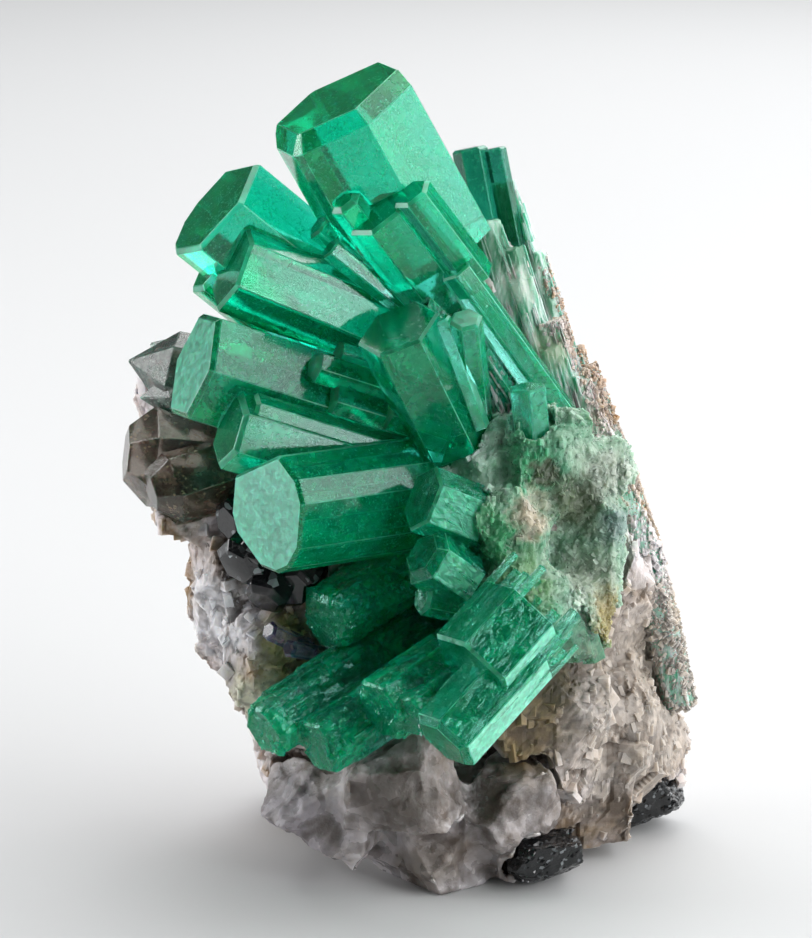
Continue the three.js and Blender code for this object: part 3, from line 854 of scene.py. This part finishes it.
def pushed_out(add, geometry, place, depth):
    """Moves a rock's skin out along its normals, except where the rock rests on the floor."""
    height = add(SPLIT, {"Vector": place}, out="Z")
    lifted = add(RANGE, (height, RESTING[0], RESTING[1]))
    amount = add(MATH, (depth, lifted), "MULTIPLY")
    moved = add(VECTOR, {0: add(NORMAL), "Scale": amount}, "SCALE")
    return add(MOVE, {"Geometry": geometry, "Offset": moved})


def planted(add, given, where, rise):
    """Random points on the faces where a condition holds, moved out along the normals."""
    seeds = add("GeometryNodeDistributePointsOnFaces", {
        "Mesh": given["Geometry"], "Selection": where, "Density": given["Density"],
        "Seed": given["Seed"],
    }, out=None).outputs
    moved = add(VECTOR, {0: seeds["Normal"], "Scale": rise}, "SCALE")
    return add(MOVE, {"Geometry": seeds[0], "Offset": moved})


def cleavage_tree():
    """Steps a rock's surface in and out along tilted cleavage faces."""
    tree, add, given = start_tree("cleavage", ("Grain", "Relief"))
    place = add(POSITION)
    total = None
    for scale, weight in CLEAVAGES:
        spacing = add(MATH, (given["Grain"], scale), "MULTIPLY")
        often = add(MATH, (1.0, spacing), "DIVIDE")
        step, cells = tilted_cells(add, place, often)
        level = add(MATH, (step, spacing), "DIVIDE")
        part = add(MATH, (level, weight), "MULTIPLY")
        total = part if total is None else add(MATH, (total, part), "ADD")
    # The rock only steps inwards from the solid it stands for, and stays flat where it rests.
    lowered = add(MATH, (total, DEEPER), "SUBTRACT")
    deep = add(MATH, (lowered, given["Relief"]), "MULTIPLY")
    carved = pushed_out(add, given["Geometry"], place, deep)
    height = add(RANGE, (total, -0.4, 0.4))
    shade = add(SPLIT, {"Vector": cells["Color"]})
    return finish_tree(tree, add, given, marked(add, carved, height, shade))


def weathered_tree(name, heading=0, rise=90, drawn=1.0):
    """Rounds a rock's corners, then gives it bumps and grain, drawn out along one direction."""
    tree, add, given = start_tree(
        name, ("Bump Width", "Bump Height", "Grain Width", "Grain Height"), ("Rounding", "Smooth")
    )
    place = add(POSITION)
    rounded = add("GeometryNodeBlurAttribute", {
        "Value": place, "Iterations": given["Rounding"],
    }, data_type=THREE)
    smooth = add(MOVE, {"Geometry": given["Geometry"], "Position": rounded})
    own = []
    for row, squeeze in zip(axis_frame(heading, rise), (1.0, 1.0, 1 / drawn)):
        own.append(add(VECTOR, (place, tuple(row * squeeze)), "DOT_PRODUCT", out="Value"))
    grown_way = add(COMBINE, own)
    total = None
    for part in ("Bump", "Grain"):
        often = add(MATH, (1.0, given[f"{part} Width"]), "DIVIDE")
        noise = add(NOISE, {"Vector": grown_way, "Scale": often, "Detail": 3.0, "Distortion": 0.5})
        low = add(MATH, (noise, HOLLOW), "SUBTRACT")
        deep = add(MATH, (low, given[f"{part} Height"]), "MULTIPLY")
        if total is None:
            total, hollows = deep, noise
        else:
            total = add(MATH, (total, deep), "ADD")
    bumpy = pushed_out(add, smooth, place, total)
    soft = add("GeometryNodeSetShadeSmooth", {"Geometry": bumpy, "Shade Smooth": given["Smooth"]})
    # Both marks are the bump noise, so a rock material that reads them gives the hollows painted shade
    # and a darker tone.
    return finish_tree(tree, add, given, marked(add, soft, hollows, hollows))


def flake_tree():
    """Thin flakes inside the crystals, gathered in curved sheets."""
    tree, add, given = start_tree("flakes", ("Size", "Density", "Sheet"), ("Seed",))
    crystals, seed = given["Geometry"], given["Seed"]
    inside = add("GeometryNodeMeshToVolume", {
        "Mesh": crystals, "Voxel Size": NET, "Interior Band Width": 0.05,
    }, resolution_mode="VOXEL_SIZE")
    points = add("GeometryNodeDistributePointsInVolume", {
        "Volume": inside, "Density": given["Density"], "Seed": seed,
    })
    place = add(POSITION)
    sheets = add(NOISE, {"Vector": place, "Scale": SHEETS_PER_MM / MM, "Detail": 3.0, "Distortion": 1.0})
    off = add(MATH, (sheets, 0.5), "SUBTRACT")
    apart = add(MATH, (off,), "ABSOLUTE")
    near_skin = add("GeometryNodeProximity", {
        "Geometry": crystals, "Sample Position": place,
    }, out="Distance")
    stray = add(COMPARE, (apart, given["Sheet"]), "GREATER_THAN")
    shallow = add(COMPARE, (near_skin, SKIN), "LESS_THAN")
    dropped = add(LOGIC, (stray, shallow), "OR")
    kept = add(DELETE, {"Geometry": points, "Selection": dropped})
    flake = add("GeometryNodeMeshIcoSphere")
    turned = add(RANDOM, {0: (0, 0, 0), 1: (math.tau,) * 3, "Seed": seed}, data_type=THREE)
    shape = add(RANDOM, {0: FLAKES[0], 1: FLAKES[1], "Seed": seed}, data_type=THREE)
    scaled = add(VECTOR, {0: shape, "Scale": given["Size"]}, "SCALE")
    placed = add(ON_POINTS, {"Points": kept, "Instance": flake, "Rotation": turned, "Scale": scaled})
    return finish_tree(tree, add, given, placed)


def needle_tree():
    """Slender six-sided prisms half sunk in a surface, all nearly along one direction."""
    tree, add, given = start_tree(
        "needles", ("Width", "Longest", "Density", "Spread", "Sunk", "Lowest"), ("Seed",), ("Along",)
    )
    along, seed = given["Along"], given["Seed"]
    end_on = add(VECTOR, (add(NORMAL), along), "DOT_PRODUCT", out="Value")
    side_on = add(COMPARE, (end_on, SIDE_ON), "LESS_THAN")
    long = add(MATH, (given["Longest"], given["Width"]), "DIVIDE")
    low = add(COMBINE, (0.25, 0.25, 2.5))
    high = add(COMBINE, (1.0, 0.8, long))
    shape = add(RANDOM, {0: low, 1: high, "Seed": seed}, data_type=THREE)
    scaled = add(VECTOR, {0: shape, "Scale": given["Width"]}, "SCALE")
    thick = add(SPLIT, {"Vector": scaled}, out="Y")
    inward = add(MATH, (thick, given["Sunk"]), "MULTIPLY")
    outward = add(MATH, (inward, -1.0), "MULTIPLY")
    lowered = planted(add, given, side_on, outward)
    place = add(POSITION)
    height = add(SPLIT, {"Vector": place}, out="Z")
    below = add(COMPARE, (height, given["Lowest"]), "LESS_THAN")
    kept = add(DELETE, {"Geometry": lowered, "Selection": below})
    jitter = add(RANDOM, {0: (-1,) * 3, 1: (1,) * 3, "Seed": seed}, data_type=THREE)
    swing = add(VECTOR, {0: jitter, "Scale": given["Spread"]}, "SCALE")
    way = add(VECTOR, (along, swing), "ADD")
    aligned = add("FunctionNodeAlignRotationToVector", {"Vector": way}, axis="Z")
    prism = add("GeometryNodeMeshCylinder", {"Vertices": 6, "Depth": 1.0})
    # The free end of each is at its own point, so that none grows past its host's end.
    prism = add("GeometryNodeTransform", {"Geometry": prism, "Translation": (0, 0, -0.5)})
    placed = add(ON_POINTS, {"Points": kept, "Instance": prism, "Rotation": aligned, "Scale": scaled})
    return finish_tree(tree, add, given, placed)


def block_tree():
    """Broken cleavage blocks and plates, half sunk in the rock."""
    tree, add, given = start_tree("blocks", ("Size", "Density", "Lowest", "Highest", "Edge"), ("Seed",))
    seed = given["Seed"]
    place = add(POSITION)
    height = add(SPLIT, {"Vector": place}, out="Z")
    out = add(VECTOR, (place, SHOULDER_EDGE), "DOT_PRODUCT", out="Value")
    where = None
    for value, limit, side in (
        (height, "Lowest", "GREATER_THAN"), (height, "Highest", "LESS_THAN"),
        (out, "Edge", "GREATER_THAN"),
    ):
        here = add(COMPARE, (value, given[limit]), side)
        where = here if where is None else add(LOGIC, (where, here), "AND")
    # Cleavage keeps to a few directions in each part of the rock, so the turn changes slowly.
    grown_way = add(NOISE, {"Vector": place, "Scale": 1 / (DOMAIN_MM * MM), "Detail": 1.0}, out="Color")
    turned = add(VECTOR, {0: grown_way, "Scale": BLOCK_TURN}, "SCALE")
    least, most = (-BLOCK_JITTER,) * 3, (BLOCK_JITTER,) * 3
    jitter = add(RANDOM, {0: least, 1: most, "Seed": seed}, data_type=THREE)
    rotation = add(VECTOR, (turned, jitter), "ADD")
    shape = add(RANDOM, {0: BLOCKS[0], 1: BLOCKS[1], "Seed": seed}, data_type=THREE)
    # Most blocks are small and a few are large.
    luck = add(RANDOM, {2: 0.0, 3: 1.0, "Seed": seed}, out=1)
    rare = add(MATH, (luck, MOSTLY_SMALL), "POWER")
    big = add(RANGE, (rare, 0.0, 1.0, 0.2, 1.0))
    wide = add(MATH, (big, given["Size"]), "MULTIPLY")
    scaled = add(VECTOR, {0: shape, "Scale": wide}, "SCALE")
    block = add("GeometryNodeMeshCube")
    inward = add(MATH, (wide, -BLOCK_SUNK), "MULTIPLY")
    lowered = planted(add, given, where, inward)
    placed = add(ON_POINTS, {
        "Points": lowered, "Instance": block, "Rotation": rotation, "Scale": scaled,
    })
    return finish_tree(tree, add, given, marked(add, placed, 0.9, luck, "INSTANCE"))


def evaluated(name, mesh, kind, prepare):
    """The plain mesh that one modifier of a kind makes, once a function has set it up."""
    carrier = put(name, mesh)
    prepare(carrier.modifiers.new(name, kind))
    bpy.context.view_layer.update()
    held = carrier.evaluated_get(bpy.context.evaluated_depsgraph_get())
    made = bpy.data.meshes.new_from_object(held)
    carrier.modifiers.clear()
    bpy.data.objects.remove(carrier)
    return made


def grown(name, mesh, tree, values):
    """The plain mesh that a geometry tree makes from a mesh, with the given inputs set."""
    def prepare(modifier):
        modifier.node_group = tree
        for item in tree.interface.items_tree:
            if item.item_type == "SOCKET" and item.in_out == "INPUT" and item.name in values:
                modifier[item.identifier] = values[item.name]

    return evaluated(name, mesh, "NODES", prepare)


def remeshed(name, voxel):
    """A welded copy of a CAD node as an even net of small faces."""
    def prepare(modifier):
        modifier.mode = "VOXEL"
        modifier.voxel_size = voxel

    return evaluated(name, finished(name, welded(name)), "REMESH", prepare)


def solids(names):
    """The CAD nodes of these names as one welded mesh."""
    bm = bmesh.new()
    for name in names:
        bm.from_mesh(finished(name, welded(name)))
    return finished("solids", bm)


def weather(name, mesh, tree, material, rounding, bump, height, grain, grain_height, smooth):
    """A rock's mesh with rounded corners, bumps and grain, whose widths and heights are in mm."""
    return grown(name, mesh, tree, {
        "Rounding": rounding, "Bump Width": bump * MM, "Bump Height": height * MM,
        "Grain Width": grain * MM, "Grain Height": grain_height * MM, "Smooth": smooth,
        "Material": material,
    })


def rubble(
    name, mesh, tree, material, block, dense, lowest=2.5, highest=EVERY, edge=-EVERY
):
    """Broken blocks on a mesh, sized and spaced against the rock's own; limits are in mm."""
    rock = settings().rock
    broken = grown(name, mesh, tree, {
        "Size": rock.block * block, "Density": rock.block_density * dense / SQUARE_CM,
        "Lowest": lowest * MM, "Highest": highest * MM, "Edge": edge * MM, "Seed": rock.seed,
        "Material": material,
    })
    show(name, broken, material)


class SPECIMEN_OT_inclusions(bpy.types.Operator):
    """Scatters veils of thin flakes through the emeralds"""

    bl_idname = "specimen.inclusions"
    bl_label = "Inclusions"

    def execute(self, context):
        crystals = settings().crystals
        # Fluid films and healed cracks: pale, with a soft gloss, so they glitter in the green.
        film = inclusion_film("fluid film, pale", "ddf7ef")
        tree = flake_tree()
        mesh = grown("flakes", solids(EMERALDS), tree, {
            "Size": crystals.flake, "Density": crystals.flake_density / CUBIC_CM,
            "Sheet": 0.009, "Seed": crystals.seed, "Material": film,
        })
        if not mesh.polygons:
            raise RuntimeError("No flake was placed")
        show("emerald_flakes", mesh, film)
        return {"FINISHED"}


class SPECIMEN_OT_needles(bpy.types.Operator):
    """Grows fibres on the pale columns and thin prisms on the lower emeralds"""

    bl_idname = "specimen.needles"
    bl_label = "Needles"

    def execute(self, context):
        crystals = settings().crystals
        # Fibrous beryl: white where its fibres are packed, green where they let light through.
        fine = fine_beryl("fibrous beryl, silky", "4fae88", "dff3ea", SHOULDER_STAINS)
        columns = weather(
            "beryl_columns", remeshed("beryl_columns", ROCKS["beryl_columns"] * MM),
            weathered_tree("fibrous", *COLUMNS_WAY, 12.0), fine,
            5, 1.5, 1.0, 0.5, 0.3, 0,
        )
        show("beryl_columns_fibres", columns, fine, replaced=["beryl_columns"])
        tree = needle_tree()
        # Small prisms of the same emerald, hillocky and full of pale specks, partly painted glints, so
        # that they sparkle.
        small = crystal_glass(
            "emerald, small prisms", density=280, body="0ad498", milk="c8fff0", gloss=0.35,
            **HILLOCKY,
        )
        # name, where they grow, material, slot, then against the needles' own width and density,
        # the longest of them in mm, how far they splay, how deep they sit and the lowest, mm
        groups = [
            ("shoulder_needles", "beryl_columns", fine, "beryl", 0.5, 0.4, 10.0, 0.03, 0.6, 58),
            ("lower_left_steps", "emerald_lower_left", small, "emerald", 2.8, 0.2, 8.0, 0, 0.75, 0),
            ("lower_right_steps", "emerald_lower_right", small, "emerald", 2.8, 0.1, 7.0, 0, 0.85, 0),
            ("stub_steps", "emerald_stubs", small, "emerald", 2.0, 0.12, 5.0, 0, 0.85, 0),
            ("core_steps", "emerald_core", small, "emerald", 2.2, 0.2, 6.0, 0.03, 0.6, 0),
            ("core_fibres", "emerald_core", fine, "beryl", 0.9, 1.4, 7.0, 0.2, 0.7, 0),
        ]
        for name, host, material, slot, wide, dense, longest, spread, sunk, low in groups:
            along = axis_frame(*CRYSTALS.get(host, COLUMNS_WAY)[:2])[2]
            mesh = grown(name, solids([host]), tree, {
                "Width": crystals.needle * wide, "Longest": longest * MM,
                "Density": crystals.needle_density * dense / SQUARE_CM,
                "Along": tuple(along), "Spread": spread, "Sunk": sunk, "Lowest": low * MM,
                "Seed": crystals.seed, "Material": material,
            })
            if material is small:
                mark_crystal(mesh, CRYSTALS[host])
            show(name, mesh, material)
        return {"FINISHED"}


class SPECIMEN_OT_rock(bpy.types.Operator):
    """Breaks the surface of the rock, the quartz knobs and the mica lumps"""

    bl_idname = "specimen.rock"
    bl_label = "Rock"

    def execute(self, context):
        rock = settings().rock
        cleavage, weathered, blocks = cleavage_tree(), weathered_tree("weathered"), block_tree()
        # Feldspar: white to flesh coloured, broken along its cleavage, waxy with glossy faces. Its
        # hollows get painted shade.
        feldspar = broken_rock("feldspar rock, broken", rock.light, rock.tan, "5a4c3f", ROCK_STAINS_AND_SHADE)
        # Milky quartz: greyer and more see-through than the feldspar, with a greasy gloss. Its hollows
        # get painted shade.
        milky = broken_rock(
            "milky quartz, waxy", "e8e2e4", "8c7f75", "665a50", ROCK_STAINS_AND_SHADE, rough=0.34, glow_mm=2.5,
            clear=0.3, facet_mm=2.4, facet_rise=0.15, hollow=(0.55, 0.32), grain_mm=0.22,
        )
        # Massive beryl: sugary, pale green and white, stained tan in its pit. Grains sparkle. Its hollows
        # get a painted shade of deep green.
        sugary = broken_rock(
            "massive beryl, sugary", "a9c9b0", "58a07c", "3f6e4f",
            DRUSE_STAINS, rough=0.45, glow_mm=2.0, clear=0.15, facet_mm=0.7,
        )
        # Black mica: stacked flakes, each a small mirror at its own tilt, some painted grey as glints.
        mica = black_mineral("black mica, flaky", "16181a", "7d8285", 0.5)
        # node, material, slot; grain, relief, block size and block density against the rock's own;
        # for a worn one how many times it is rounded, the widths and heights of its bumps and of
        # its grain, mm, and whether it is smooth
        clad = [
            ("matrix", feldspar, "rock", 1.0, 1.0, 1.0, 1.0, ()),
            ("quartz_knobs", milky, "milky_quartz", 1.0, 1.2, 0, 0, (3, 3.5, 1.0, 1.0, 0.4, 1)),
            ("beryl_druse", sugary, "beryl", 0.6, 0.8, 0.42, 7.0, (4, 3.0, 1.6, 1.0, 1.1, 0)),
            ("mica_right", mica, "schorl", 0.5, 0.6, 0, 0, ()),
            ("mica_foot", mica, "schorl", 0.5, 0.6, 0, 0, ()),
        ]
        for name, material, slot, grain, relief, block, dense, worn in clad:
            mesh = grown(name, remeshed(name, ROCKS[name] * MM), cleavage, {
                "Grain": rock.grain * grain, "Relief": rock.relief * relief, "Material": material,
            })
            if worn:
                mesh = weather(name, mesh, weathered, material, *worn)
            if dense:
                rubble(f"{name}_blocks", mesh, blocks, material, block, dense)
            show(f"{name}_stone", mesh, material, replaced=[name])
        crusty = solids(["beryl_columns"])
        rubble("crust_low", crusty, blocks, feldspar, 0.45, 25, 20, 60, 0)
        rubble("crust_edge", crusty, blocks, feldspar, 0.34, 45, 58, 80, 51.5)
        return {"FINISHED"}


class SPECIMEN_PT_panel(bpy.types.Panel):
    """The specimen's pieces and the sizes and colours that may be changed"""

    bl_idname = "SPECIMEN_PT_panel"
    bl_label = "Emerald cluster"
    bl_space_type = "VIEW_3D"
    bl_region_type = "UI"
    bl_category = "Specimen"

    def draw(self, context):
        for group in ("crystals", "rock", "studio"):
            box = self.layout.box()
            values = getattr(settings(), group)
            for name in values.__annotations__:
                box.prop(values, name)
        for maker in OPERATORS:
            self.layout.operator(maker.bl_idname)


OPERATORS = (
    SPECIMEN_OT_stage, SPECIMEN_OT_crystals, SPECIMEN_OT_inclusions, SPECIMEN_OT_needles,
    SPECIMEN_OT_rock,
)
CLASSES = (CrystalSettings, RockSettings, StudioSettings, Settings, *OPERATORS, SPECIMEN_PT_panel)


def register():
    for cls in CLASSES:
        bpy.utils.register_class(cls)
    bpy.types.Scene.emerald_cluster = bpy.props.PointerProperty(type=Settings)


def unregister():
    del bpy.types.Scene.emerald_cluster
    for cls in reversed(CLASSES):
        bpy.utils.unregister_class(cls)


def main():
    register()
    bpy.ops.specimen.stage()
    bpy.ops.specimen.crystals()
    bpy.ops.specimen.inclusions()
    bpy.ops.specimen.needles()
    bpy.ops.specimen.rock()


if __name__ == "__main__":
    main()
